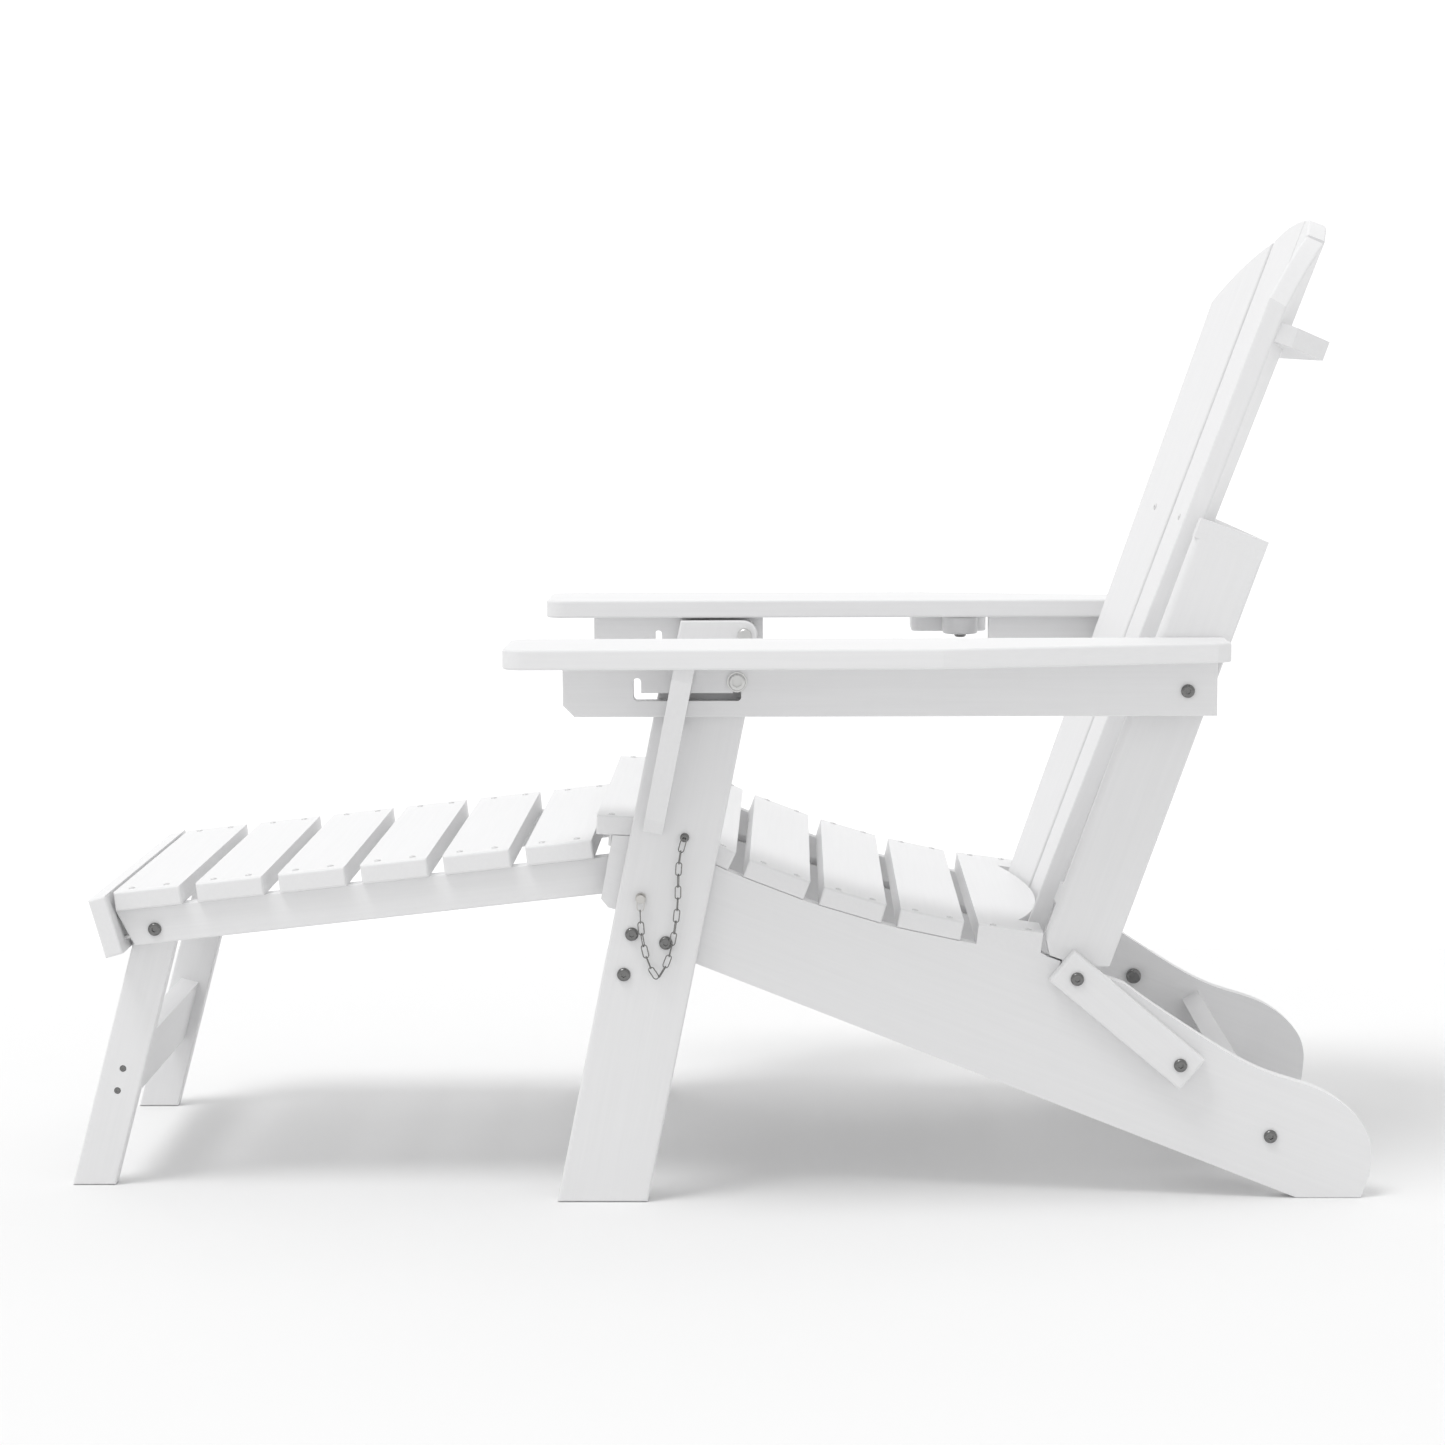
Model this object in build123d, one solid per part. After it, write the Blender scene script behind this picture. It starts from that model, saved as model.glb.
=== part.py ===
"""Folding adirondack chair in plastic lumber, with an ottoman, a cup holder and a two-position back.

Millimetres. +Z is up, the sitter looks along -Y, and +X is the sitter's left.
The origin is on the floor, under the middle of the chair's outline with its cup holder swung out.
The parts are drawn about the seat's middle plane, and saving them moves them to the origin.
Side outlines are (Y, Z) points. Every board is BOARD thick.
"""
from build123d import *
from math import ceil, cos, degrees, hypot, radians, sin, tan
import os

# ---------------------------------------------------------------- driving dimensions
BOARD = 20.0            # thickness of every board
EDGE = 2.5              # rounding of the long edges of a board
BOLT_R = 4.0            # shank of the frame bolts
BOLT_FIT = 0.08         # radial clearance of a bolt in its bore
HEAD_R = 6.8            # button head of a frame bolt
HEAD_H = 4.0
SCREW_R = 2.25
SCREW_HEAD_R = 3.4
SCREW_HEAD_H = 1.0
SCREW_SPREAD = 18.0     # half the spacing of the two screws at a slat's end

# planes across the chair, measured from the middle
STRINGER_IN = 235.0
STRINGER_OUT = STRINGER_IN + BOARD
LEG_IN = STRINGER_OUT + 0.5
LEG_OUT = LEG_IN + BOARD
SUPPORT_IN = LEG_OUT + 1.0
SUPPORT_OUT = SUPPORT_IN + BOARD
ARM_IN = STRINGER_OUT + 1.0
ARM_OUT = 384.0
ARM_REAR_OUT = 324.0

# pivots in the side view
LEG_PIVOT = (-47.1, 266.2)
LEG_TOP_BOLT = (26.0, 532.0)
BACK_PIVOT = (366.7, 228.9)
LINK_PIVOT = (471.1, 140.7)
ARM_PIVOT = (472.6, 521.9)
LOCK_PIN = (-72.0, 312.0)
CHAIN_ANCHOR = (-27.6, 373.3)
OTTOMAN_PIVOT = (-74.1, 331.4)
OTTOMAN_LEG_PIVOT = (-572.6, 272.0)

# front legs
LEG_WIDTH = 90.0
LEG_LEAN = 11.5
LEG_FOOT_Y = -113.0
LEG_TOP_Z = 549.0
STRETCHER_CENTRE = (-85.5, 254.6)
STRETCHER_TALL = 64.0

# seat: a level front slat, then slats on an arc
SLAT_WIDTH = 65.5
SEAT_FRONT = (-84.0, 392.0, 3.0)
SEAT_ARC_START = (-6.0, 368.5)
SEAT_ARC_SLOPE = 25.5
SEAT_ARC_RADIUS = 1040.0
SEAT_PITCH = 80.5
SEAT_ARC_SLATS = 5
STRINGER_SLOPE = 21.63
STRINGER_END = (657.2, 667.5)

# back, in its own directions: n to the rear and t up along the posts
BACK_LEAN = 19.93
POST_FRONT = -42.6
POST_REAR = 29.2
POST_TOP = 456.0
NOTCH_FLOOR = 8.5
TONGUE_R = 18.0
SLAT_TOP = 806.0
SLAT_BOTTOM = 14.0
CROWN_R = 356.0
FAN_HALF_WIDTH = 171.6
FAN_SPREAD = 0.1104
SLAT_EDGE_N = -55.5
INNER_TURN = 0.07
OUTER_TURN = 0.22
SLAT_GAP = 7.0
HEAD_RAIL_REAR = 24.0

# arms
ARM_TOP = 572.0
ARM_FRONT_Y = -201.8
ARM_REAR_Y = 513.0
SUPPORT_BOTTOM = 497.0
SUPPORT_FRONT_Y = -147.5
SUPPORT_REAR_Y = 502.0
SLOT_WIDTH = 8.0
SLOT_Z = 517.0
SECOND_NOTCH_Y = -73.4
CUP_PIVOT = (-312.0, 275.0)
CUP_HOLE_X = -412.0
CUP_HALF = 43.5
CUP_ARM_Z = 529.0
CUP_RADIUS = 35.0
ORIGIN_X = (CUP_HALF - CUP_HOLE_X - ARM_OUT) / 2   # from the seat's middle plane to the outline's

# ottoman
OTTOMAN_SLOPE = 6.3
OTTOMAN_FRONT = (-613.1, 311.1)
OTTOMAN_PITCH = 84.8
OTTOMAN_SLAT_WIDTH = 68.5
OTTOMAN_SLATS = 6
OTTOMAN_HALF = 231.0
RAIL_OUT = 222.5
RAIL_TALL = 38.0
OTTOMAN_LEG_WIDTH = 43.0
OTTOMAN_LEG_LEAN = 14.94
SCREW_SINK = SCREW_HEAD_H + 0.2
FASCIA_TALL = 62.0
FASCIA_TILT = 16.0


# ---------------------------------------------------------------- helpers
def seat_slats():
    """Middle of each seat slat's top face with its slope, from front to rear."""
    rows = [SEAT_FRONT]
    y, z = SEAT_ARC_START
    slope = SEAT_ARC_SLOPE
    turn = degrees(SEAT_PITCH / SEAT_ARC_RADIUS)
    for _ in range(SEAT_ARC_SLATS):
        rows.append((y, z, slope))
        middle = radians(slope - turn / 2)
        y += SEAT_PITCH * cos(middle)
        z -= SEAT_PITCH * sin(middle)
        slope -= turn
    return rows


def along(row, distance, depth=0.0):
    """Point on a seat slat: distance towards the rear, depth below its top face."""
    y, z, slope = row
    a = radians(slope)
    return (y + distance * cos(a) - depth * sin(a), z - distance * sin(a) - depth * cos(a))


def back_point(n, t, x=0.0):
    """World point of the back's own coordinates."""
    a = radians(BACK_LEAN)
    y = BACK_PIVOT[0] + n * cos(a) + t * sin(a)
    z = BACK_PIVOT[1] - n * sin(a) + t * cos(a)
    return (x, y, z)


def back_yz(n, t):
    return back_point(n, t)[1:]


def ottoman_point(a, b):
    """Side-view point: a along the ottoman from its front slat, b above the slats' top."""
    s = radians(OTTOMAN_SLOPE)
    y0, z0 = OTTOMAN_FRONT
    return (y0 + a * cos(s) - b * sin(s), z0 + a * sin(s) + b * cos(s))


def plate(outline, x_in, thick=BOARD):
    """Board standing in a side plane, from a (Y, Z) outline."""
    face = make_face(Polyline([(x_in, y, z) for y, z in outline], close=True).edges())
    return extrude(face, amount=thick, dir=(1, 0, 0))


def across(outline, half):
    """Board running across the chair, from its (Y, Z) section."""
    return plate(outline, -half, 2 * half)


def soften(part, axis, radius=EDGE):
    """Round the edges of the two faces that lie furthest apart along an axis."""
    faces = part.faces().sort_by(axis)
    return fillet(faces[0].edges() + faces[-1].edges(), radius)


def rod(point, x0, x1, radius):
    """Cylinder along X between two planes, at a (Y, Z) point."""
    middle = Location(((x0 + x1) / 2, point[0], point[1]), (0, 90, 0))
    return middle * Cylinder(radius, abs(x1 - x0))


def mirrored(part):
    return mirror(part, about=Plane.YZ)


def bolt(shank, radius=BOLT_R, head_r=HEAD_R, head_h=HEAD_H):
    """Button-head bolt: the head stands on Z = 0 and the shank hangs below."""
    head = Pos(0, 0, head_h / 2) * Cylinder(head_r, head_h)
    head = fillet(head.edges().filter_by(GeomType.CIRCLE).sort_by(Axis.Z)[-1:], head_h * 0.72)
    socket = extrude(Plane.XY.offset(head_h * 0.45) * RegularPolygon(head_r * 0.42, 6), head_h)
    stem = Pos(0, 0, -shank / 2) * Cylinder(radius, shank)
    return head + stem - socket


def screw(length=32.0):
    """Pan-head screw, its thin head on Z = 0."""
    return bolt(length, SCREW_R, SCREW_HEAD_R, SCREW_HEAD_H)


def facing(point, direction):
    """Location whose +Z looks along a direction."""
    return Plane(origin=point, z_dir=direction).location


def side_bolt(point, x_face, x_tip):
    """Bolt through the left side, head on the plane x_face, tip at x_tip."""
    place = facing((x_face, point[0], point[1]), (1, 0, 0))
    return place * bolt(x_face - x_tip)


def both_sides(parts):
    return parts + [mirrored(part) for part in parts]


def drilled(part, points, x0, x1, radius=BOLT_R + BOLT_FIT):
    """Bores along X through a board of the left side."""
    for point in points:
        part = part - rod(point, x0 - 1, x1 + 1, radius)
    return part


def save(name, *solids):
    """Write one node: a single solid, or a group of separate ones."""
    shapes = [Pos(ORIGIN_X, 0, 0) * solid for shape in solids for solid in shape.solids()]
    node = shapes[0] if len(shapes) == 1 else Compound(children=shapes)
    node.label = name
    export_step(node, f"parts/{name}.step")


def save_pair(name, left):
    """A part and its mirror image, as two nodes."""
    save(name + "_left", left)
    save(name + "_right", mirrored(left))


# ---------------------------------------------------------------- seat frame
def stringer_outline():
    """Front, seat contour, back notch and the straight bottom edge of a stringer."""
    slope = tan(radians(STRINGER_SLOPE))
    heel_y = 591.5
    front = [(-97.0, 296.5), (-106.0, 299.0), (-113.3, 308.0)]
    top = []
    for row in seat_slats():
        start = -SLAT_WIDTH / 2 if row is not SEAT_FRONT else -16.0
        top.append(along(row, start, BOARD))
        top.append(along(row, SLAT_WIDTH / 2, BOARD))
    notch = [back_yz(-34.5, NOTCH_FLOOR), back_yz(50.0, NOTCH_FLOOR)]
    bottom_y = -71.0
    bottom = [(heel_y, 0.0), (bottom_y, (heel_y - bottom_y) * slope)]
    hook = [(-70.0, 275.0), (-63.5, 293.0)]
    return front, top, notch, bottom, hook


def stringer():
    front, top, notch, bottom, hook = stringer_outline()
    upper = Polyline([(0, y, z) for y, z in front + top + notch])
    rear_points = [notch[-1], (486.0, 171.5), (569.0, 126.0), (616.0, 110.2), (650.0, 86.0), (667.5, 43.5)]
    rear = Spline([(0, y, z) for y, z in rear_points], tangents=((0, 0.78, -0.62), (0, 0, -1)))
    heel = Polyline([(0, 667.5, 43.5), (0, 665.5, 22.0), (0, STRINGER_END[0], 0)])
    lower = Polyline([(0, STRINGER_END[0], 0)] + [(0, y, z) for y, z in bottom + hook + front[:1]])
    edges = upper.edges() + rear.edges() + heel.edges() + lower.edges()
    body = extrude(Pos(STRINGER_IN, 0, 0) * make_face(edges), amount=BOARD, dir=(1, 0, 0))
    pocket_r = TONGUE_R + 1.0
    mouth_rows = [(-pocket_r, 0.0), (18.8, -2.0), (25.2, 9.0), (33.0, 21.0), (-pocket_r, 21.0)]
    pocket = rod(BACK_PIVOT, STRINGER_IN - 1, STRINGER_OUT + 1, pocket_r)
    mouth = plate([back_yz(n, t) for n, t in mouth_rows], STRINGER_IN - 1, BOARD + 2)
    body = body - pocket - mouth
    body = body - guide_groove()
    bores = [LEG_PIVOT, LOCK_PIN, LINK_PIVOT, REAR_BOARD_BOLT]
    return drilled(body, bores, STRINGER_IN, STRINGER_OUT)


GROOVE_SLOPE = 18.0
GROOVE_LENGTH = 440.0
GROOVE_DEPTH = 8.0
REAR_BOARD_BOLT = (565.0, 63.2)


def guide_groove():
    """Blind groove on the stringer's inner face that the ottoman's rear pin runs in."""
    y, z = OTTOMAN_PIVOT
    s = radians(GROOVE_SLOPE)
    end = (y + GROOVE_LENGTH * cos(s), z - GROOVE_LENGTH * sin(s))
    r = BOLT_R + BOLT_FIT
    x1 = STRINGER_IN + GROOVE_DEPTH
    side = [(y + r * sin(s), z + r * cos(s)), (end[0] + r * sin(s), end[1] + r * cos(s)),
            (end[0] - r * sin(s), end[1] - r * cos(s)), (y - r * sin(s), z - r * cos(s))]
    channel = plate(side, STRINGER_IN - 1, GROOVE_DEPTH + 1)
    return channel + rod(OTTOMAN_PIVOT, STRINGER_IN - 1, x1, r) + rod(end, STRINGER_IN - 1, x1, r)


def screw_rows(row, x):
    """Two screws through a seat slat's end into the stringer."""
    a = radians(row[2])
    found = []
    for step in (-SCREW_SPREAD, SCREW_SPREAD):
        y, z = along(row, step)
        found.append(facing((x, y, z), (0, sin(a), cos(a))))
    return found


def seat_slat(row, last):
    half = SLAT_WIDTH / 2
    section = [along(row, -half), along(row, half), along(row, half, BOARD), along(row, -half, BOARD)]
    body = soften(across(section, STRINGER_OUT), Axis.X, EDGE)
    if last:
        body = last_slat(row)
    return body


def last_slat(row):
    """Rear seat slat: its rear edge follows the back's curve and its ends reach past it."""
    half = SLAT_WIDTH / 2
    a = radians(row[2])
    plane = Plane(origin=(0, row[0], row[1]), x_dir=(1, 0, 0), z_dir=(0, sin(a), cos(a)))
    tab, edge_y, middle_y = 190.0, 11.0, 40.0
    rim = Polyline([(-tab, edge_y), (-tab, half), (-STRINGER_OUT, half), (-STRINGER_OUT, -half),
                    (STRINGER_OUT, -half), (STRINGER_OUT, half), (tab, half), (tab, edge_y)])
    curve = ThreePointArc((tab, edge_y), (0, middle_y), (-tab, edge_y))
    face = make_face(rim.edges() + curve.edges())
    return extrude(plane * face, amount=-BOARD)


def rear_board():
    """Board across the stringers near the floor at the rear, bolted from both sides."""
    centre = REAR_BOARD_BOLT
    tall, lean = 84.0, radians(28)
    u = (-sin(lean), cos(lean))
    v = (cos(lean), sin(lean))
    corner = [(-10, -22), (10, -22), (10, tall - 22), (-10, tall - 22)]
    section = [(centre[0] + v[0] * p + u[0] * q, centre[1] + v[1] * p + u[1] * q) for p, q in corner]
    return across(section, STRINGER_IN)


# ---------------------------------------------------------------- front legs
def leg_axis(z):
    return LEG_FOOT_Y + z * tan(radians(LEG_LEAN))


def front_leg():
    half = LEG_WIDTH / 2 / cos(radians(LEG_LEAN))
    corner_r = LEG_TOP_Z - LEG_TOP_BOLT[1]
    outline = [(leg_axis(0) - half, 0), (leg_axis(0) + half, 0), (leg_axis(LEG_TOP_Z) + half, LEG_TOP_Z),
               (leg_axis(LEG_TOP_Z) - half, LEG_TOP_Z)]
    body = plate(outline, LEG_IN)
    corner = body.edges().filter_by(Axis.X).sort_by(Axis.Z)[-2:].sort_by(Axis.Y)[-1]
    body = fillet([corner], corner_r)
    body = soften(body, Axis.X, EDGE)
    bores = [LEG_PIVOT, LOCK_PIN, LEG_TOP_BOLT] + stretcher_bolts()
    body = drilled(body, bores, LEG_IN, LEG_OUT)
    return body - rod(CHAIN_ANCHOR, LEG_OUT - 14, LEG_OUT + 1, SCREW_R + BOLT_FIT)


def leg_frame(point, p, q):
    """Side-view point p across and q along a front leg from a given point."""
    a = radians(LEG_LEAN)
    return (point[0] + p * cos(a) + q * sin(a), point[1] - p * sin(a) + q * cos(a))


def stretcher_bolts():
    return [leg_frame(STRETCHER_CENTRE, 0, q) for q in (-21.0, 21.0)]


def front_stretcher():
    half = STRETCHER_TALL / 2
    section = [leg_frame(STRETCHER_CENTRE, p, q) for p, q in ((-10, -half), (10, -half), (10, half), (-10, half))]
    body = across(section, LEG_IN)
    for point in stretcher_bolts():
        for x0, x1 in ((LEG_IN - 34, LEG_IN + 1), (-LEG_IN - 1, -LEG_IN + 34)):
            body = body - rod(point, x0, x1, BOLT_R + BOLT_FIT)
    return body


BRACKET_TOP_X = 368.0
BRACKET_BOTTOM_X = 300.0


def arm_bracket():
    """Gusset on the leg's outer face that carries the arm outside its support board."""
    a = radians(LEG_LEAN)
    front = LEG_WIDTH / 2 - 11.8
    foot = (leg_axis(381) - front / cos(a), 381.0)
    y_dir = (0, sin(a), cos(a))
    plane = Plane(origin=(0, foot[0], foot[1]), x_dir=(1, 0, 0), z_dir=(0, cos(a), -sin(a)))
    rise = (557.0 - 381.0) / cos(a)
    shelf = (488.0 - 381.0) / cos(a)
    flip = 1 if plane.y_dir.Z > 0 else -1
    points = [(LEG_OUT, 0), (LEG_OUT + 8, 0), (BRACKET_BOTTOM_X, 15), (BRACKET_TOP_X, rise - 16),
              (BRACKET_TOP_X, rise), (SUPPORT_OUT + 1.5, rise), (SUPPORT_OUT + 1.5, shelf), (LEG_OUT, shelf)]
    face = make_face(Polyline([(x, flip * y) for x, y in points], close=True).edges())
    body = extrude(plane * face, amount=BOARD)
    cut = Pos((LEG_OUT + BRACKET_TOP_X) / 2, 0, ARM_TOP - BOARD - 0.5 + 50) * Box(300, 600, 100)
    return body - cut


# ---------------------------------------------------------------- lock pins and chains
CHAIN_X = LEG_OUT + 7.6
CHAIN_PITCH = 12.2
CHAIN_WIRE = 0.55
CHAIN_WIDTH = 6.8
CHAIN_LENGTH = 14.5
PIN_HEAD_R = 5.4
PIN_BOSS_R = 3.1
CHAIN_ROUTE = [(-28.0, 371.5), (-32.6, 352.0), (-34.2, 324.0), (-35.5, 299.0), (-40.7, 266.0), (-48.0, 243.0),
               (-55.5, 233.5), (-62.5, 243.0), (-68.5, 262.0), (-71.5, 281.0), (-72.4, 300.0)]


def chain_link(length=CHAIN_LENGTH, width=CHAIN_WIDTH):
    """Straight-sided link along X, in the XY plane."""
    r = width / 2 - CHAIN_WIRE
    h = length / 2 - width / 2
    path = Polyline([(-h, r), (h, r)]).edges() + ThreePointArc((h, r), (h + r, 0), (h, -r)).edges()
    path = path + Polyline([(h, -r), (-h, -r)]).edges() + ThreePointArc((-h, -r), (-h - r, 0), (-h, r)).edges()
    loop = Wire(path)
    section = Plane(origin=(-h, r, 0), x_dir=(0, 1, 0), z_dir=(1, 0, 0)) * Circle(CHAIN_WIRE)
    return sweep(section, path=loop)


def lock_chain():
    route = Spline([(CHAIN_X, y, z) for y, z in CHAIN_ROUTE])
    count = ceil(route.length / CHAIN_PITCH)
    link = chain_link()
    links = []
    for k in range(count):
        u = (k + 0.5) / count
        spot = route.position_at(u)
        ahead = route.tangent_at(u)
        flat = Plane(origin=spot, x_dir=ahead, z_dir=(1, 0, 0))
        turn = 90 * (k % 2) + 14 * cos(2.3 * k)
        links.append(flat.location * Rot(turn, 0, 0) * link)
    return links


def lock_pin():
    """Locking pin in the leg's bore, with a collared head and an oval pull ring hung on it."""
    y, z = LOCK_PIN
    shank = rod(LOCK_PIN, LEG_IN + 0.3, LEG_OUT + 0.5, BOLT_R)
    nose = shank.edges().filter_by(GeomType.CIRCLE).sort_by(Axis.X)[:1]
    shank = chamfer(nose, 1.2)
    collar = rod(LOCK_PIN, LEG_OUT + 0.3, LEG_OUT + 3.0, PIN_HEAD_R)
    boss = rod(LOCK_PIN, LEG_OUT + 3.0, LEG_OUT + 8.6, PIN_BOSS_R)
    cap = rod(LOCK_PIN, LEG_OUT + 8.6, LEG_OUT + 10.0, PIN_BOSS_R + 1.2)
    hang = Plane(origin=(CHAIN_X, y, z - 4.4), x_dir=(0, 0, -1), z_dir=(1, 0, 0))
    ring = hang.location * chain_link(17.0, 2 * PIN_BOSS_R + 4 * CHAIN_WIRE - 0.2)
    return shank + collar + boss + cap + ring


# ---------------------------------------------------------------- links and back
def link_plate():
    """Plate on the stringer's outer side that carries the foot of a back post."""
    dy, dz = BACK_PIVOT[0] - LINK_PIVOT[0], BACK_PIVOT[1] - LINK_PIVOT[1]
    length = hypot(dy, dz)
    a = (dy / length, dz / length)
    b = (-a[1], a[0])
    half, over_top, over_foot = 19.75, 19.7, 16.0
    corner = [(-over_foot, -half), (length + over_top, -half), (length + over_top, half), (-over_foot, half)]
    outline = [(LINK_PIVOT[0] + a[0] * p + b[0] * q, LINK_PIVOT[1] + a[1] * p + b[1] * q) for p, q in corner]
    body = soften(plate(outline, LEG_IN), Axis.X, EDGE)
    return drilled(body, [BACK_PIVOT, LINK_PIVOT], LEG_IN, LEG_OUT)


def back_post():
    """Post with a shoulder over the stringer's notch and a round tongue on its pivot."""
    meet_n, meet_t = 11.3, 14.0
    foot = [(POST_REAR, POST_TOP), (POST_REAR, 20.7), (meet_n, meet_t)]
    front = [(-TONGUE_R, 0), (-TONGUE_R, 10.5), (-31.7, 10.5), (POST_FRONT, 27.4), (POST_FRONT, POST_TOP)]
    plane = Plane(origin=(STRINGER_IN, *BACK_PIVOT), x_dir=(0, cos(radians(BACK_LEAN)), -sin(radians(BACK_LEAN))),
                  z_dir=(1, 0, 0))
    edges = Polyline(foot).edges() + Polyline(front + [foot[0]]).edges()
    arc = ThreePointArc((meet_n, meet_t), (0, -TONGUE_R), (-TONGUE_R, 0))
    face = make_face(edges + arc.edges())
    flat = extrude(face, amount=BOARD)
    long_edges = flat.edges().filter_by(Axis.Y).filter_by(lambda e: e.length > 400)
    front_edges = long_edges.sort_by(Axis.X)[:2]
    flat = fillet(front_edges, 7.0)
    rear_edges = flat.edges().filter_by(Axis.Y).filter_by(lambda e: e.length > 400).sort_by(Axis.X)[-2:]
    flat = fillet(rear_edges, EDGE)
    body = plane.location * flat
    return drilled(body, [BACK_PIVOT, ARM_PIVOT], STRINGER_IN, STRINGER_OUT)


def fan_width(t):
    return FAN_HALF_WIDTH + FAN_SPREAD * t


def slat_depth(x, t, outer):
    """Front face of a back slat at half-width x and height t."""
    half = fan_width(t) / 2
    if outer:
        return SLAT_EDGE_N + (2 * half - x) * OUTER_TURN
    return SLAT_EDGE_N + half * OUTER_TURN + (half - x) * INNER_TURN


def slat_face(outer, low, high, margin):
    """Tapered face of one left-hand back slat, on its own tilted plane."""
    corners = []
    for t, order in ((low, 1), (high, -1)):
        half = fan_width(t) / 2
        x0 = half + margin if outer else margin
        x1 = 2 * half if outer else half - margin
        row = [(x0, t), (x1, t)][::order]
        corners += [back_point(slat_depth(x, t, outer), t, x) for x, t in row]
    return make_face(Polyline(corners, close=True).edges())


def rearward(face):
    normal = face.faces()[0].normal_at()
    return 1 if normal.Y > 0 else -1


def crown():
    """Everything under the back's arched top."""
    centre_t = SLAT_TOP - CROWN_R
    a = BACK_LEAN
    disc = Location(back_point(0, centre_t), (90 - a, 0, 0)) * Cylinder(CROWN_R, 400)
    below = Location(back_point(0, centre_t - 300), (-a, 0, 0)) * Box(2 * CROWN_R, 400, 600)
    return disc + below


def back_slat(outer):
    face = slat_face(outer, SLAT_BOTTOM, SLAT_TOP + 10, SLAT_GAP / 2)
    body = extrude(face, amount=rearward(face) * BOARD)
    body = body & crown()
    body = body.solids()[0]
    edges = body.edges().filter_by(lambda e: e.length > 50)
    return fillet(edges, EDGE)


def front_of_slats():
    """Space in front of the slats' rear faces, which the rails are cut back from."""
    space = []
    for outer in (False, True):
        low, high = 20.0, 760.0
        corners = []
        for t, order in ((low, 1), (high, -1)):
            half = fan_width(t) / 2
            x0 = half if outer else -1.0
            x1 = 2 * half + 9 if outer else half + 4
            row = [(x0, t), (x1, t)][::order]
            corners += [back_point(slat_depth(x, t, outer), t, x) for x, t in row]
        face = make_face(Polyline(corners, close=True).edges())
        way = rearward(face)
        slab = extrude(face, amount=way * BOARD) + extrude(face, amount=-way * 60)
        space += [slab, mirrored(slab)]
    return space


def back_rail(t, plan):
    """Rail lying flat across the back: a plan outline of (x, n) points, BOARD thick along the posts."""
    a = radians(BACK_LEAN)
    plane = Plane(origin=back_point(0, t), x_dir=(1, 0, 0), z_dir=(0, sin(a), cos(a)))
    sign = 1 if plane.y_dir.Y > 0 else -1
    face = make_face(Polyline([(x, sign * n) for x, n in plan], close=True).edges())
    body = extrude(plane * face, amount=BOARD)
    for slab in front_of_slats():
        body = body - slab
    return max(body.solids(), key=lambda s: s.volume)


def lower_rail():
    half = STRINGER_IN - 0.2
    return back_rail(58.0, [(-half, -40), (half, -40), (half, POST_REAR), (-half, POST_REAR)])


def middle_rail():
    half = STRINGER_OUT
    return back_rail(POST_TOP, [(-half, POST_FRONT), (half, POST_FRONT), (half, POST_REAR), (-half, POST_REAR)])


def head_rail():
    half, shoulder, rear = 248.0, 196.0, HEAD_RAIL_REAR
    plan = [(-half, -60), (half, -60), (half, -17.5), (shoulder, rear), (-shoulder, rear), (-half, -17.5)]
    return back_rail(665.0, plan)


def back_screws():
    """Places and lengths of the left-hand slats' screws, one for each slat at each rail.

    The middle rail's go in through the slat's face, and the other rails' from the rail's rear edge.
    """
    found = []
    for outer, share in ((False, 0.25), (True, 0.75)):
        face = slat_face(outer, SLAT_BOTTOM, SLAT_TOP, SLAT_GAP / 2)
        front = face.faces()[0].normal_at() * -rearward(face)
        for t, rear_n in ((68.0, POST_REAR), (POST_TOP + 10, None), (675.0, HEAD_RAIL_REAR)):
            x = fan_width(t) * share
            depth = slat_depth(x, t, outer)
            if rear_n is None:
                found.append((facing(back_point(depth, t, x), front), 34.0))
            else:
                rear = Vector(*back_point(1, 0)) - Vector(*back_point(0, 0))
                found.append((facing(back_point(rear_n, t, x), rear), rear_n - depth - 8))
    return found


# ---------------------------------------------------------------- arms
def arm_board():
    """Arm: rounded front corners, outer edge tapering to the rear."""
    taper_y = 227.7
    outline = [(ARM_IN, ARM_FRONT_Y), (ARM_OUT, ARM_FRONT_Y), (ARM_OUT, taper_y), (ARM_REAR_OUT, ARM_REAR_Y - 14),
               (ARM_REAR_OUT - 9, ARM_REAR_Y), (ARM_IN, ARM_REAR_Y)]
    face = make_face(Polyline(outline, close=True).edges())
    body = extrude(Plane.XY.offset(ARM_TOP - BOARD) * face, amount=BOARD)
    corners = body.edges().filter_by(Axis.Z).sort_by(Axis.Y)[:2]
    body = fillet(corners, 20.0)
    return soften(body, Axis.Z, EDGE)


def support_slot():
    """U-shaped slot in the arm support: a long channel with a notch up at each end."""
    r = SLOT_WIDTH / 2
    x0, width = SUPPORT_IN - 1, BOARD + 2
    y0, y1 = SECOND_NOTCH_Y, LEG_TOP_BOLT[0]
    top = LEG_TOP_BOLT[1]
    channel = plate([(y0, SLOT_Z - r), (y1, SLOT_Z - r), (y1, SLOT_Z + r), (y0, SLOT_Z + r)], x0, width)
    tool = channel
    for y in (y0, y1):
        notch = plate([(y - r, SLOT_Z), (y + r, SLOT_Z), (y + r, top), (y - r, top)], x0, width)
        tool = tool + notch + rod((y, SLOT_Z), x0, x0 + width, r) + rod((y, top), x0, x0 + width, r)
    return tool


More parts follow.
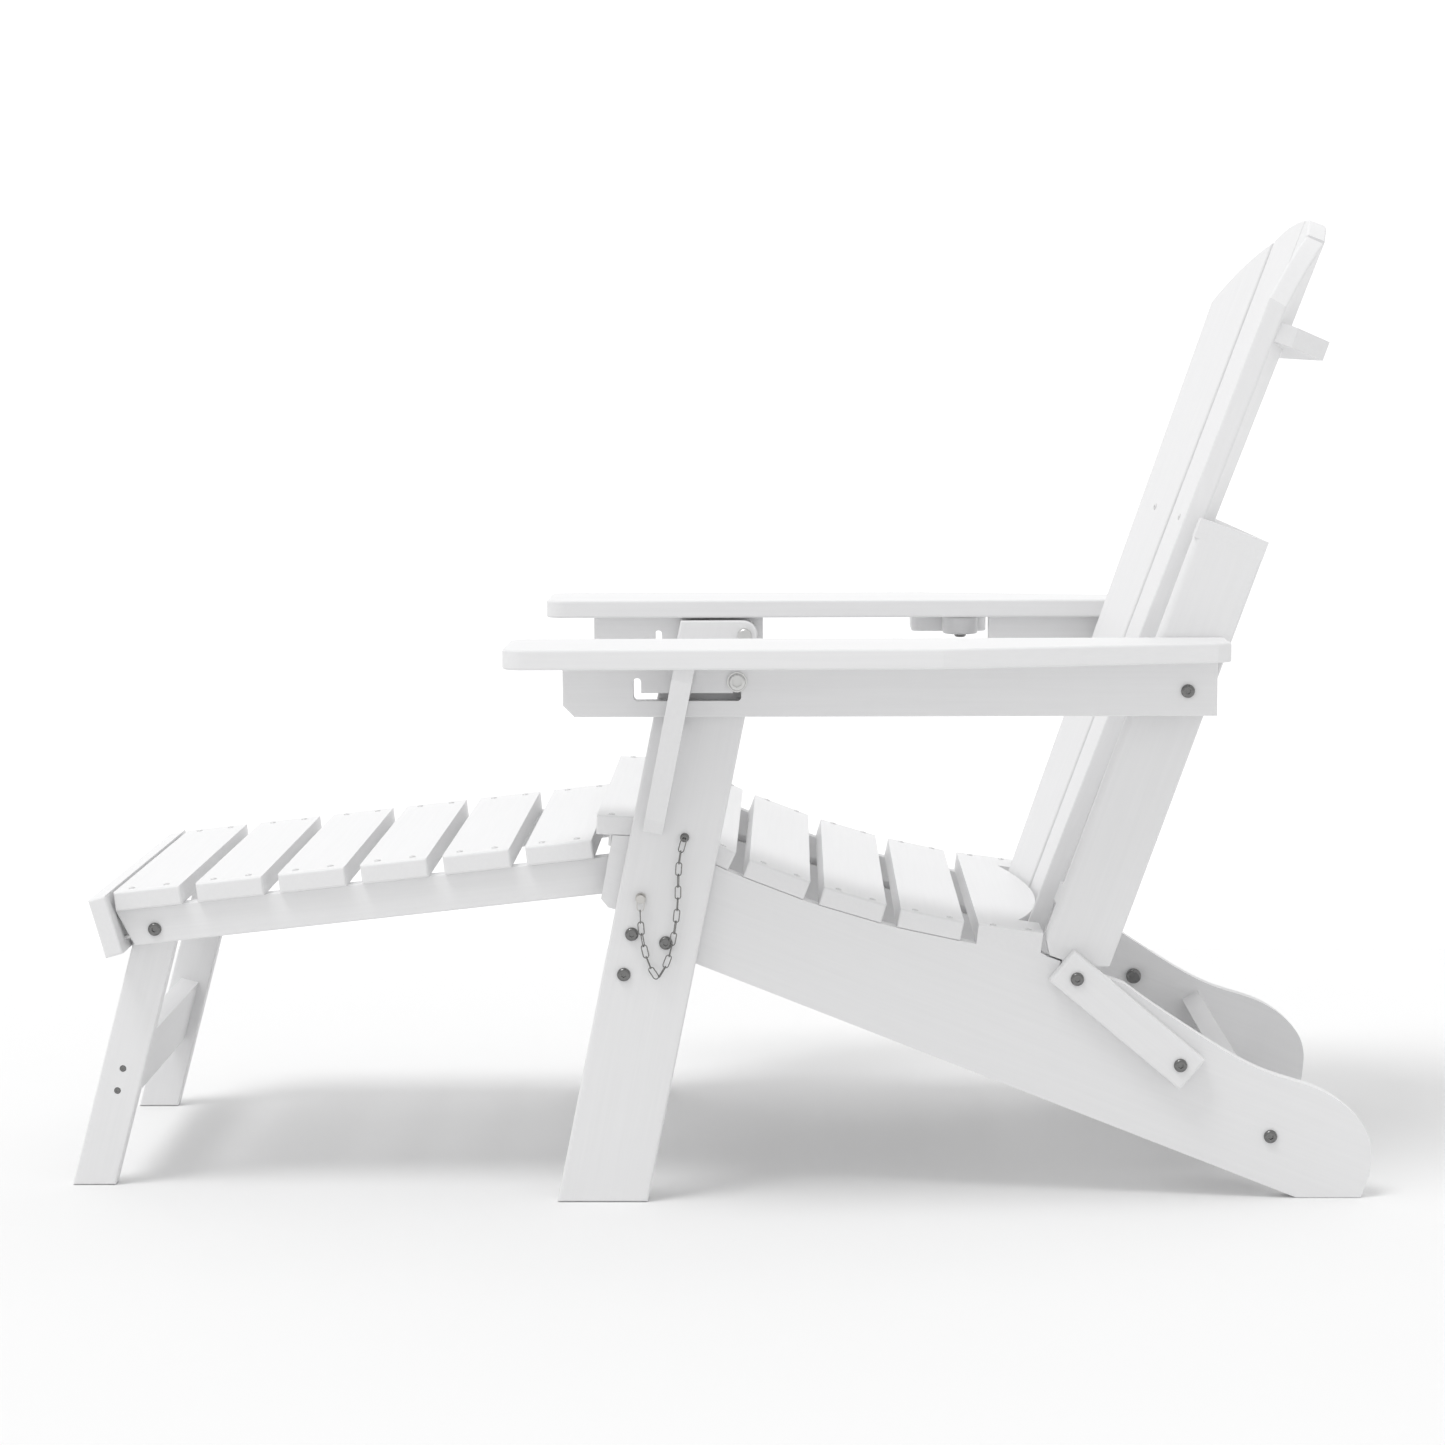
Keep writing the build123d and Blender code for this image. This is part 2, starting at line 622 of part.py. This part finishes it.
def arm_support(cup_side):
    nip = 11.5
    outline = [(SUPPORT_FRONT_Y, SUPPORT_BOTTOM + nip), (SUPPORT_FRONT_Y + nip, SUPPORT_BOTTOM),
               (SUPPORT_REAR_Y, SUPPORT_BOTTOM), (SUPPORT_REAR_Y, ARM_TOP - BOARD),
               (SUPPORT_FRONT_Y, ARM_TOP - BOARD)]
    body = soften(plate(outline, SUPPORT_IN), Axis.X, 1.5)
    body = body - support_slot()
    if cup_side:
        body = body - Pos(286, (46.7 + 306.0) / 2, 524 + 20) * Box(60, 306.0 - 46.7, 40)
    return drilled(body, [ARM_PIVOT], SUPPORT_IN, SUPPORT_OUT)


def cup_holder():
    """Swing-out holder: a round pivot end, a neck and a body with a hole for a cup."""
    px, py = CUP_PIVOT
    centre_y = py - 12
    half = CUP_HALF
    near_x, hole_x = px - 38.0, CUP_HOLE_X
    neck_half = 20.0
    body_face = Pos((near_x + hole_x) / 2, centre_y) * RectangleRounded(near_x - hole_x + 24, 2 * half, 11.5)
    end_face = Pos(hole_x, centre_y) * Circle(half)
    neck_face = Pos((px + near_x) / 2 - 8, py) * Rectangle(px - near_x + 16, 2 * neck_half)
    lobe_face = Pos(px, py) * Circle(neck_half)
    outline = body_face + end_face + neck_face + lobe_face
    blank = extrude(Plane.XY.offset(CUP_ARM_Z) * outline, amount=BOARD)
    blank = blank - Pos(hole_x, centre_y, CUP_ARM_Z + BOARD / 2) * Cylinder(CUP_RADIUS, BOARD + 2)
    blank = soften(blank, Axis.Z, 2.0)
    return blank - Pos(px, py, CUP_ARM_Z + BOARD / 2) * Cylinder(BOLT_R + BOLT_FIT, BOARD + 2)


# ---------------------------------------------------------------- ottoman
def ottoman_rail():
    top, bottom = -BOARD, -BOARD - RAIL_TALL
    front_a = -2.0
    rear_a = 552.0
    lean = radians(22.7) - radians(OTTOMAN_SLOPE)
    outline = [ottoman_point(front_a, top), ottoman_point(front_a + RAIL_TALL * tan(lean) + 4, bottom),
               ottoman_point(rear_a, bottom), ottoman_point(rear_a, top)]
    body = plate(outline, RAIL_OUT - BOARD)
    rear_edges = body.edges().filter_by(Axis.X).sort_by(Axis.Y)[-2:]
    body = fillet(rear_edges, 12.0)
    body = soften(body, Axis.X, 1.5)
    return drilled(body, [OTTOMAN_PIVOT, OTTOMAN_LEG_PIVOT], RAIL_OUT - BOARD, RAIL_OUT)


def ottoman_slat(k):
    a0 = k * OTTOMAN_PITCH
    a1 = a0 + OTTOMAN_SLAT_WIDTH
    section = [ottoman_point(a0, 0), ottoman_point(a1, 0), ottoman_point(a1, -BOARD), ottoman_point(a0, -BOARD)]
    return soften(across(section, OTTOMAN_HALF), Axis.X, EDGE)


def fascia_frame(p, q):
    """Side-view point of the fascia: p behind its front face, q down from its top edge."""
    a = radians(FASCIA_TILT)
    top_y, top_z = -636.6, 304.9
    return (top_y + p * cos(a) + q * sin(a), top_z + p * sin(a) - q * cos(a))


def ottoman_fascia():
    section = [fascia_frame(p, q) for p, q in ((0, 0), (18.5, 0), (18.5, FASCIA_TALL), (0, FASCIA_TALL))]
    return soften(across(section, 245.0), Axis.X, EDGE)


def ottoman_leg_axis(z):
    y, z0 = OTTOMAN_LEG_PIVOT
    return y + (z - z0) * tan(radians(OTTOMAN_LEG_LEAN))


def ottoman_leg():
    a = radians(OTTOMAN_LEG_LEAN)
    half = OTTOMAN_LEG_WIDTH / 2 / cos(a)
    top_z = OTTOMAN_LEG_PIVOT[1]
    outline = [(ottoman_leg_axis(0) - half, 0), (ottoman_leg_axis(0) + half, 0)]
    shift = OTTOMAN_LEG_WIDTH / 2
    y, z = OTTOMAN_LEG_PIVOT
    outline += [(y + shift * cos(a), z - shift * sin(a)), (y - shift * cos(a), z + shift * sin(a))]
    body = plate(outline, RAIL_OUT - 2 * BOARD - 0.5)
    body = body + rod(OTTOMAN_LEG_PIVOT, RAIL_OUT - 2 * BOARD - 0.5, RAIL_OUT - BOARD - 0.5, shift)
    body = soften(body, Axis.X, 2.0)
    x0 = RAIL_OUT - 2 * BOARD - 0.5
    body = drilled(body, [OTTOMAN_LEG_PIVOT], x0, x0 + BOARD)
    for point in ottoman_leg_screws():
        body = body - rod(point, x0 + BOARD - SCREW_SINK, x0 + BOARD + 1, SCREW_HEAD_R + 0.1)
    return drilled(body, ottoman_leg_screws(), x0, x0 + BOARD, SCREW_R + BOLT_FIT)


def ottoman_leg_frame(p, q):
    a = radians(OTTOMAN_LEG_LEAN)
    y, z = ottoman_leg_axis(111.0), 111.0
    return (y + p * cos(a) + q * sin(a), z - p * sin(a) + q * cos(a))


def ottoman_leg_screws():
    return [ottoman_leg_frame(0, q) for q in (-12.0, 12.0)]


def ottoman_leg_stretcher():
    section = [ottoman_leg_frame(p, q) for p, q in ((-10, -32), (10, -32), (10, 36), (-10, 36))]
    half = RAIL_OUT - 2 * BOARD - 0.5
    body = across(section, half)
    for point in ottoman_leg_screws():
        for side in (1, -1):
            body = body - rod(point, side * (half - 16), side * (half + 1), SCREW_R + BOLT_FIT)
    return body


# ---------------------------------------------------------------- assembly
def cut_by(part, tools, grow):
    """Remove screw or bolt bores from a part, with a little clearance round the shank."""
    for place, length in tools:
        part = part - place * Pos(0, 0, -length / 2) * Cylinder(grow, length + 0.4)
    return part


def build_seat():
    left = stringer()
    rows = seat_slats()
    places = [place for row in rows for x in (-245.0, 245.0) for place in screw_rows(row, x)]
    tools = [(place, 32.0) for place in places]
    for row, number in zip(rows, range(1, len(rows) + 1)):
        slat = seat_slat(row, number == len(rows))
        own = [(place, 32.0) for x in (-245.0, 245.0) for place in screw_rows(row, x)]
        save(f"seat_slat_{number}", cut_by(slat, own, SCREW_R + 0.05))
    left_tools = [(place, 32.0) for row in rows for place in screw_rows(row, 245.0)]
    save_pair("stringer", cut_by(left, left_tools, SCREW_R + 0.05))
    save("seat_screws", *[place * screw() for place, _ in tools])
    board = rear_board()
    for side in (1, -1):
        board = board - rod(REAR_BOARD_BOLT, side * (STRINGER_IN - 32), side * (STRINGER_IN + 1), BOLT_R + BOLT_FIT)
    save("rear_board", board)
    bolts = [side_bolt(LEG_PIVOT, LEG_OUT, STRINGER_IN - 1), side_bolt(LINK_PIVOT, LEG_OUT, STRINGER_IN - 1),
             side_bolt(REAR_BOARD_BOLT, STRINGER_OUT, STRINGER_IN - 30)]
    nuts = [rod(point, STRINGER_IN - 8, STRINGER_IN - 1.2, 8.5) for point in (LEG_PIVOT, LINK_PIVOT)]
    nuts = [fillet(nut.edges().sort_by(Axis.X)[:1], 3.0) for nut in nuts]
    save("frame_bolts", *both_sides(bolts + nuts))


def build_legs():
    save_pair("front_leg", front_leg())
    save_pair("arm_bracket", arm_bracket())
    save("front_stretcher", front_stretcher())
    bolts = [side_bolt(point, LEG_OUT, LEG_IN - 32) for point in stretcher_bolts()]
    save("leg_stretcher_bolts", *both_sides(bolts))
    flange = rod(LEG_TOP_BOLT, SUPPORT_OUT + 0.3, SUPPORT_OUT + 2.1, 10.2)
    head = rod(LEG_TOP_BOLT, SUPPORT_OUT + 0.3, SUPPORT_OUT + 4.6, 8.6)
    head = fillet(head.edges().filter_by(GeomType.CIRCLE).sort_by(Axis.X)[-1:], 2.2)
    socket = facing((SUPPORT_OUT + 2.0, *LEG_TOP_BOLT), (1, 0, 0)) * extrude(RegularPolygon(5.2, 6), 4)
    shank = rod(LEG_TOP_BOLT, LEG_IN - 3.0, SUPPORT_IN - 0.3, BOLT_R)
    nut = fillet(rod(LEG_TOP_BOLT, LEG_IN - 7.5, LEG_IN - 0.2, 8.0).edges().sort_by(Axis.X)[:1], 3.0)
    save("leg_top_bolts", *both_sides([flange + head - socket, shank + nut]))
    anchor = facing((LEG_OUT, *CHAIN_ANCHOR), (1, 0, 0)) * bolt(13.5, SCREW_R, 4.6, 3.6)
    save("chain_anchor_screws", *both_sides([anchor]))
    links = lock_chain()
    save("lock_chain_left", *links)
    save("lock_chain_right", *[mirrored(link) for link in links])
    save_pair("lock_pin", lock_pin())


def build_back():
    save_pair("link_plate", link_plate())
    pivot = side_bolt(BACK_PIVOT, LEG_OUT, STRINGER_IN - 1)
    nut = fillet(rod(BACK_PIVOT, STRINGER_IN - 8, STRINGER_IN - 1.2, 8.5).edges().sort_by(Axis.X)[:1], 3.0)
    save("back_pivot_bolts", *both_sides([pivot, nut]))
    save_pair("back_post", back_post())
    tools = back_screws()
    rails = {"back_rail_lower": lower_rail(), "back_rail_middle": middle_rail(), "back_rail_head": head_rail()}
    slats = {"back_slat_inner": back_slat(False), "back_slat_outer": back_slat(True)}
    for name, slat in slats.items():
        save_pair(name, cut_by(slat, tools, SCREW_R + 0.05))
    for name, rail in rails.items():
        bored = cut_by(rail, tools, SCREW_R + 0.05)
        save(name, mirrored(cut_by(mirrored(bored), tools, SCREW_R + 0.05)))
    save("back_screws", *both_sides([place * screw(length) for place, length in tools]))


def build_arms():
    px, py = CUP_PIVOT
    shank_top = ARM_TOP - 6
    save("arm_left", arm_board())
    bore = Pos(px, py, shank_top - 15) * Cylinder(BOLT_R + BOLT_FIT, 30.4)
    save("arm_right", mirrored(arm_board()) - bore)
    save("arm_support_left", arm_support(False))
    save("arm_support_right", mirrored(arm_support(True)))
    save("cup_holder", cup_holder())
    washer = Pos(px, py, (CUP_ARM_Z + BOARD + ARM_TOP - BOARD) / 2) * (Cylinder(11, 2.6) - Cylinder(4.2, 3))
    head = Location((px, py, CUP_ARM_Z - 0.3), (180, 0, 0)) * bolt(shank_top - CUP_ARM_Z)
    save("cup_pivot_bolt", head, washer)
    pivot = side_bolt(ARM_PIVOT, SUPPORT_OUT, STRINGER_IN - 1)
    spacer = rod(ARM_PIVOT, STRINGER_OUT + 0.3, SUPPORT_IN - 0.3, 15.0)
    spacer = spacer - rod(ARM_PIVOT, STRINGER_OUT, SUPPORT_IN, BOLT_R + BOLT_FIT)
    nut = fillet(rod(ARM_PIVOT, STRINGER_IN - 8, STRINGER_IN - 1.2, 8.5).edges().sort_by(Axis.X)[:1], 3.0)
    save("arm_pivot_bolts", *both_sides([pivot, nut]))
    save("arm_pivot_spacers", *both_sides([spacer]))


def build_ottoman():
    s = radians(OTTOMAN_SLOPE)
    places = []
    for k in range(OTTOMAN_SLATS):
        for step in (-SCREW_SPREAD, SCREW_SPREAD):
            y, z = ottoman_point(k * OTTOMAN_PITCH + OTTOMAN_SLAT_WIDTH / 2 + step, 0)
            places += [facing((x, y, z), (0, -sin(s), cos(s))) for x in (-212.5, 212.5)]
    tilt = radians(FASCIA_TILT)
    for q in (27.0, 50.0):
        y, z = fascia_frame(0, q)
        places += [facing((x, y, z), (0, -cos(tilt), -sin(tilt))) for x in (-212.5, 212.5)]
    tools = [(place, 30.0) for place in places]
    for k in range(OTTOMAN_SLATS):
        save(f"ottoman_slat_{k + 1}", cut_by(ottoman_slat(k), tools[4 * k:4 * k + 4], SCREW_R + 0.05))
    save("ottoman_fascia", cut_by(ottoman_fascia(), tools[4 * OTTOMAN_SLATS:], SCREW_R + 0.05))
    rail = ottoman_rail()
    left_tools = [tool for tool in tools if tool[0].position.X > 0]
    save_pair("ottoman_rail", cut_by(rail, left_tools, SCREW_R + 0.05))
    save("ottoman_screws", *[place * screw(30.0) for place in places])
    pin = rod(OTTOMAN_PIVOT, RAIL_OUT - BOARD - 2, STRINGER_IN + GROOVE_DEPTH - 0.5, BOLT_R)
    collar = rod(OTTOMAN_PIVOT, RAIL_OUT + 0.3, STRINGER_IN - 0.6, 9.0)
    nut = rod(OTTOMAN_PIVOT, RAIL_OUT - BOARD - 6, RAIL_OUT - BOARD - 0.2, 7.5)
    save("ottoman_guide_pins", *both_sides([pin + collar + nut]))
    leg_bolt = side_bolt(OTTOMAN_LEG_PIVOT, RAIL_OUT, RAIL_OUT - 2 * BOARD - 2)
    save("ottoman_leg_bolts", *both_sides([leg_bolt]))
    save_pair("ottoman_leg", ottoman_leg())
    save("ottoman_leg_stretcher", ottoman_leg_stretcher())
    x_face = RAIL_OUT - BOARD - 0.5 - SCREW_SINK
    screws = [facing((x_face, *point), (1, 0, 0)) * screw(BOARD + 13) for point in ottoman_leg_screws()]
    save("ottoman_leg_screws", *both_sides(screws))


os.makedirs("parts", exist_ok=True)
build_seat()
build_legs()
build_back()
build_arms()
build_ottoman()
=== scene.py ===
"""Looks of the folding adirondack chair: white plastic lumber, steel bolts and thin steel chains.

Metres. The chair stands on Z = 0, its sitter looks along -Y, and +X is the sitter's left.
"""
from math import cos, radians, sin

import bpy
from mathutils import Matrix, Vector


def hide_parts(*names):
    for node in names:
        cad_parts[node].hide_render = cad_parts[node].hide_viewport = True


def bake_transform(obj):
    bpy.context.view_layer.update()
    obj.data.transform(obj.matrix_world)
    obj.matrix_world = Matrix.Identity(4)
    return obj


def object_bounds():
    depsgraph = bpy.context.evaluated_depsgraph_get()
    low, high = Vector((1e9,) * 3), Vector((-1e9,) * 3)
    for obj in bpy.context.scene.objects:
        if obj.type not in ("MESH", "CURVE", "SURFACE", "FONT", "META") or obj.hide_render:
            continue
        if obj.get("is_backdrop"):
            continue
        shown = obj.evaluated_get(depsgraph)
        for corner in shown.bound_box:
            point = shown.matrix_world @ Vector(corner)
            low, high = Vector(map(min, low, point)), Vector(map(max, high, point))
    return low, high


# camera: nearly side-on, a long lens, a little above the arms
CAMERA_AT = (3.9014, 0.0830, 0.8794)
CAMERA_TURN = 1.15      # degrees, towards the rear
CAMERA_DOWN = 6.2
CAMERA_ROLL = 0.25
LENS_MM = 90.0
SENSOR_MM = 36.0

# light
SKY = 0.80
SUN = 1.1
SUN_FROM = (0.35, -0.45, 1.2)
SUN_SOFTNESS = 24.0     # degrees
BACKDROP = 1.15

# stage
FLOOR_WHITE = 0.85
FLOOR_GLOW = 0.0
FLOOR_TOP = -0.0005     # just under the feet
FLOOR_REACH = 14.0
FLOOR_BACK = -1.2       # the floor ends a little behind the chair
WALL_AT = -9.0
WALL_BOTTOM = -4.0
WALL_TOP = 12.0
STAGE_ROUGHNESS = 0.9

# lean of each kind of side board, in degrees from the horizontal, rising to the rear
STRINGER_LEAN = -21.63
LEG_LEAN = 78.5
BACK_LEAN = 70.07
LINK_LEAN = -40.2
OTTOMAN_LEAN = 6.3
OTTOMAN_LEG_LEAN = 75.06

# white plastic lumber
LUMBER_WHITE = (0.80, 0.80, 0.805)
LUMBER_ROUGHNESS = 0.46
LUMBER_IOR = 1.5
LUMBER_SPECULAR = 0.38
GRAIN_ACROSS = 260.0    # streaks per metre across a board
GRAIN_ALONG = 7.0
GRAIN_DETAIL = 4.0
GRAIN_ROUGHNESS = 0.6
GRAIN_DARKEST = 0.975   # share of the white left in the darkest streaks
GRAIN_SPAN = (0.3, 0.7)  # the part of the noise that the tint runs over
PEBBLE_SCALE = 900.0
PEBBLE_DETAIL = 2.0
PEBBLE_SHARE = 0.35
BUMP_STRENGTH = 0.08
BUMP_DEPTH = 0.0004

# arm sleeves
SLEEVE_WHITE = (0.78, 0.78, 0.79)
SLEEVE_ROUGHNESS = 0.32

# steel: its roughness varies between these shares of the stated one
SCRATCH_DETAIL = 3.0
SCRATCH_SMOOTH = 0.7
SCRATCH_ROUGH = 1.4


def write_size(when, sizes):
    """Keep the outline at two moments, as plain lists."""
    low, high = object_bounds()
    sizes[when] = [list(low), list(high)]


# ---------------------------------------------------------------- camera and light
def add_camera():
    turn, down, roll = (radians(a) for a in (CAMERA_TURN, CAMERA_DOWN, CAMERA_ROLL))
    level = Vector((-cos(turn), -sin(turn), 0))
    ahead = level * cos(down) - Vector((0, 0, sin(down)))
    right = Vector((-sin(turn), cos(turn), 0))
    up = level * sin(down) + Vector((0, 0, cos(down)))
    x_axis = right * cos(roll) - up * sin(roll)
    y_axis = right * sin(roll) + up * cos(roll)
    data = bpy.data.cameras.new("camera")
    data.lens = LENS_MM
    data.sensor_width = SENSOR_MM
    camera = bpy.data.objects.new("camera", data)
    turned = Matrix((x_axis, y_axis, -ahead)).transposed().to_4x4()
    camera.matrix_world = Matrix.Translation(CAMERA_AT) @ turned
    bpy.context.scene.collection.objects.link(camera)
    scene = bpy.context.scene
    scene.camera = camera
    scene.render.film_transparent = False
    scene.view_settings.view_transform = "Standard"


def add_sky():
    world = bpy.data.worlds.new("sky")
    bpy.context.scene.world = world
    world.use_nodes = True
    background = world.node_tree.nodes["Background"]
    background.inputs["Color"].default_value = (1.0, 1.0, 1.0, 1.0)
    background.inputs["Strength"].default_value = SKY


def add_sun():
    data = bpy.data.lights.new("sun", "SUN")
    data.energy = SUN
    data.angle = radians(SUN_SOFTNESS)
    sun = bpy.data.objects.new("sun", data)
    sun.rotation_euler = Vector(SUN_FROM).to_track_quat("Z", "Y").to_euler()
    bpy.context.scene.collection.objects.link(sun)


def glow_material(name, white, glow):
    """Matt white that also shines a little."""
    material = bpy.data.materials.new(name)
    material.use_nodes = True
    shader = material.node_tree.nodes["Principled BSDF"]
    shader.inputs["Base Color"].default_value = (white, white, white, 1.0)
    shader.inputs["Roughness"].default_value = STAGE_ROUGHNESS
    shader.inputs["Specular IOR Level"].default_value = 0.0
    shader.inputs["Emission Color"].default_value = (1.0, 1.0, 1.0, 1.0)
    shader.inputs["Emission Strength"].default_value = glow
    return material


def add_sheet(name, corners, material):
    """A flat four-cornered piece of the stage."""
    mesh = bpy.data.meshes.new(name)
    mesh.from_pydata(corners, [], [(0, 1, 2, 3)])
    sheet = bpy.data.objects.new(name, mesh)
    mesh.materials.append(material)
    bpy.context.scene.collection.objects.link(sheet)
    sheet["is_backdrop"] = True


def add_stage():
    reach = FLOOR_REACH
    floor = [
        (FLOOR_BACK, -reach, FLOOR_TOP),
        (reach, -reach, FLOOR_TOP),
        (reach, reach, FLOOR_TOP),
        (FLOOR_BACK, reach, FLOOR_TOP),
    ]
    wall = [
        (WALL_AT, -reach, WALL_BOTTOM),
        (WALL_AT, reach, WALL_BOTTOM),
        (WALL_AT, reach, WALL_TOP),
        (WALL_AT, -reach, WALL_TOP),
    ]
    add_sheet("floor", floor, glow_material("floor", FLOOR_WHITE, FLOOR_GLOW))
    add_sheet("backdrop", wall, glow_material("backdrop", 0.0, BACKDROP))


# ---------------------------------------------------------------- materials
def lumber(name, lean=0.0, across=False):
    """White plastic board with a faint grain along its length, which leans in the side view."""
    material = bpy.data.materials.new(name)
    material.use_nodes = True
    nodes = material.node_tree.nodes
    link = material.node_tree.links.new
    shader = nodes["Principled BSDF"]
    shader.inputs["Roughness"].default_value = LUMBER_ROUGHNESS
    shader.inputs["IOR"].default_value = LUMBER_IOR
    shader.inputs["Specular IOR Level"].default_value = LUMBER_SPECULAR

    place = nodes.new("ShaderNodeTexCoord")
    turn = nodes.new("ShaderNodeMapping")
    turn.inputs["Rotation"].default_value = (radians(-lean), 0.0, 0.0)
    link(place.outputs["Object"], turn.inputs["Vector"])
    stretch = nodes.new("ShaderNodeMapping")
    if across:
        stretch.inputs["Scale"].default_value = (GRAIN_ALONG, GRAIN_ACROSS, GRAIN_ACROSS)
    else:
        stretch.inputs["Scale"].default_value = (GRAIN_ACROSS, GRAIN_ALONG, GRAIN_ACROSS)
    link(turn.outputs["Vector"], stretch.inputs["Vector"])

    streaks = nodes.new("ShaderNodeTexNoise")
    streaks.inputs["Scale"].default_value = 1.0
    streaks.inputs["Detail"].default_value = GRAIN_DETAIL
    streaks.inputs["Roughness"].default_value = GRAIN_ROUGHNESS
    link(stretch.outputs["Vector"], streaks.inputs["Vector"])
    pebble = nodes.new("ShaderNodeTexNoise")
    pebble.inputs["Scale"].default_value = PEBBLE_SCALE
    pebble.inputs["Detail"].default_value = PEBBLE_DETAIL
    link(place.outputs["Object"], pebble.inputs["Vector"])

    mix = nodes.new("ShaderNodeMath")
    mix.operation = "MULTIPLY_ADD"
    mix.inputs[1].default_value = PEBBLE_SHARE
    link(pebble.outputs["Fac"], mix.inputs[0])
    link(streaks.outputs["Fac"], mix.inputs[2])
    bump = nodes.new("ShaderNodeBump")
    bump.inputs["Strength"].default_value = BUMP_STRENGTH
    bump.inputs["Distance"].default_value = BUMP_DEPTH
    link(mix.outputs["Value"], bump.inputs["Height"])
    link(bump.outputs["Normal"], shader.inputs["Normal"])

    tint = nodes.new("ShaderNodeValToRGB")
    low, high = tint.color_ramp.elements
    low.position, high.position = GRAIN_SPAN
    low.color = tuple(c * GRAIN_DARKEST for c in LUMBER_WHITE) + (1.0,)
    high.color = LUMBER_WHITE + (1.0,)
    link(streaks.outputs["Fac"], tint.inputs["Fac"])
    link(tint.outputs["Color"], shader.inputs["Base Color"])
    return material


def metal(name, colour, roughness, brushed):
    """Polished steel with fine scratches."""
    material = bpy.data.materials.new(name)
    material.use_nodes = True
    nodes = material.node_tree.nodes
    link = material.node_tree.links.new
    shader = nodes["Principled BSDF"]
    shader.inputs["Base Color"].default_value = colour + (1.0,)
    shader.inputs["Metallic"].default_value = 1.0
    place = nodes.new("ShaderNodeTexCoord")
    noise = nodes.new("ShaderNodeTexNoise")
    noise.inputs["Scale"].default_value = brushed
    noise.inputs["Detail"].default_value = SCRATCH_DETAIL
    link(place.outputs["Object"], noise.inputs["Vector"])
    spread = nodes.new("ShaderNodeMapRange")
    spread.inputs["To Min"].default_value = roughness * SCRATCH_SMOOTH
    spread.inputs["To Max"].default_value = roughness * SCRATCH_ROUGH
    link(noise.outputs["Fac"], spread.inputs["Value"])
    link(spread.outputs["Result"], shader.inputs["Roughness"])
    return material


def sleeve_material():
    """Smooth moulded white plastic of the arm sleeves."""
    material = bpy.data.materials.new("white_sleeve")
    material.use_nodes = True
    shader = material.node_tree.nodes["Principled BSDF"]
    shader.inputs["Base Color"].default_value = SLEEVE_WHITE + (1.0,)
    shader.inputs["Roughness"].default_value = SLEEVE_ROUGHNESS
    return material


def finishes():
    """Materials by kind of piece."""
    return {
        "screw": metal("zinc_screws", (0.72, 0.72, 0.72), 0.42, 500.0),
        "pin": metal("pin_steel", (0.60, 0.59, 0.57), 0.30, 500.0),
        "across": lumber("lumber_across", across=True),
        "level": lumber("lumber_level"),
        "stringer": lumber("lumber_stringer", STRINGER_LEAN),
        "leg": lumber("lumber_leg", LEG_LEAN),
        "back": lumber("lumber_back", BACK_LEAN),
        "link": lumber("lumber_link", LINK_LEAN),
        "rail": lumber("lumber_ottoman_rail", OTTOMAN_LEAN),
        "ottoman_leg": lumber("lumber_ottoman_leg", OTTOMAN_LEG_LEAN),
        "bright": metal("bright_steel", (0.66, 0.66, 0.65), 0.34, 500.0),
        # painted reflection: this steel gets a near-black colour that stands in for dark
        # surroundings mirrored in the polished heads of the bolts, screws, pins and chain anchors
        "steel": metal("steel_dark_painted_reflection", (0.20, 0.20, 0.198), 0.22, 700.0),
        "chrome": metal("chain_steel", (0.22, 0.22, 0.215), 0.25, 400.0),
        "sleeve": sleeve_material(),
    }


# the first word found in a node's name gives its finish
KINDS = (
    ("leg_top", "bright"),
    ("chain_anchor", "steel"),
    ("leg_screws", "steel"),
    ("screws", "screw"),
    ("bolt", "steel"),
    ("pins", "steel"),
    ("lock_pin", "pin"),
    ("chain", "chrome"),
    ("spacers", "sleeve"),
    ("back_slat", "back"),
    ("back_post", "back"),
    ("seat_slat", "across"),
    ("ottoman_slat", "across"),
    ("fascia", "across"),
    ("stretcher", "across"),
    ("back_rail", "across"),
    ("rear_board", "across"),
    ("ottoman_rail", "rail"),
    ("ottoman_leg", "ottoman_leg"),
    ("stringer", "stringer"),
    ("front_leg", "leg"),
    ("bracket", "leg"),
    ("link_plate", "link"),
    ("arm", "level"),
    ("cup_holder", "level"),
)


def kind_of(node):
    for word, kind in KINDS:
        if word in node:
            return kind
    raise ValueError(f"no finish for {node}")


def dress(nodes, looks):
    for name, node in nodes.items():
        look = looks[kind_of(name)]
        for held in node.material_slots:
            held.material = look


def hang_chains(nodes):
    """Each chain, hanging from the leg, is copied into an object of its own, and the imported
    node is hidden.
    """
    for side in ("left", "right"):
        held = nodes[f"lock_chain_{side}"]
        chain = bpy.data.objects.new(f"chain_{side}", held.data.copy())
        chain.matrix_world = held.matrix_world
        bpy.context.scene.collection.objects.link(chain)
        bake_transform(chain)
        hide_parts(held.name)


sizes = {}
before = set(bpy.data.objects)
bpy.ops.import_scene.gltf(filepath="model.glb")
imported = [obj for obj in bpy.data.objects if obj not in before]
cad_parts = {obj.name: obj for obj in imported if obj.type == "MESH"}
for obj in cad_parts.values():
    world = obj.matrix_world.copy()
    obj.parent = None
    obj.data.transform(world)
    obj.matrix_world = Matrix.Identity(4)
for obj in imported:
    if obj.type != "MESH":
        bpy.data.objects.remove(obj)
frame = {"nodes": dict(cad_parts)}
write_size("frame", sizes)
add_camera()
add_sky()
add_sun()
add_stage()
dress(frame["nodes"], finishes())
hang_chains(frame["nodes"])
write_size("finished", sizes)
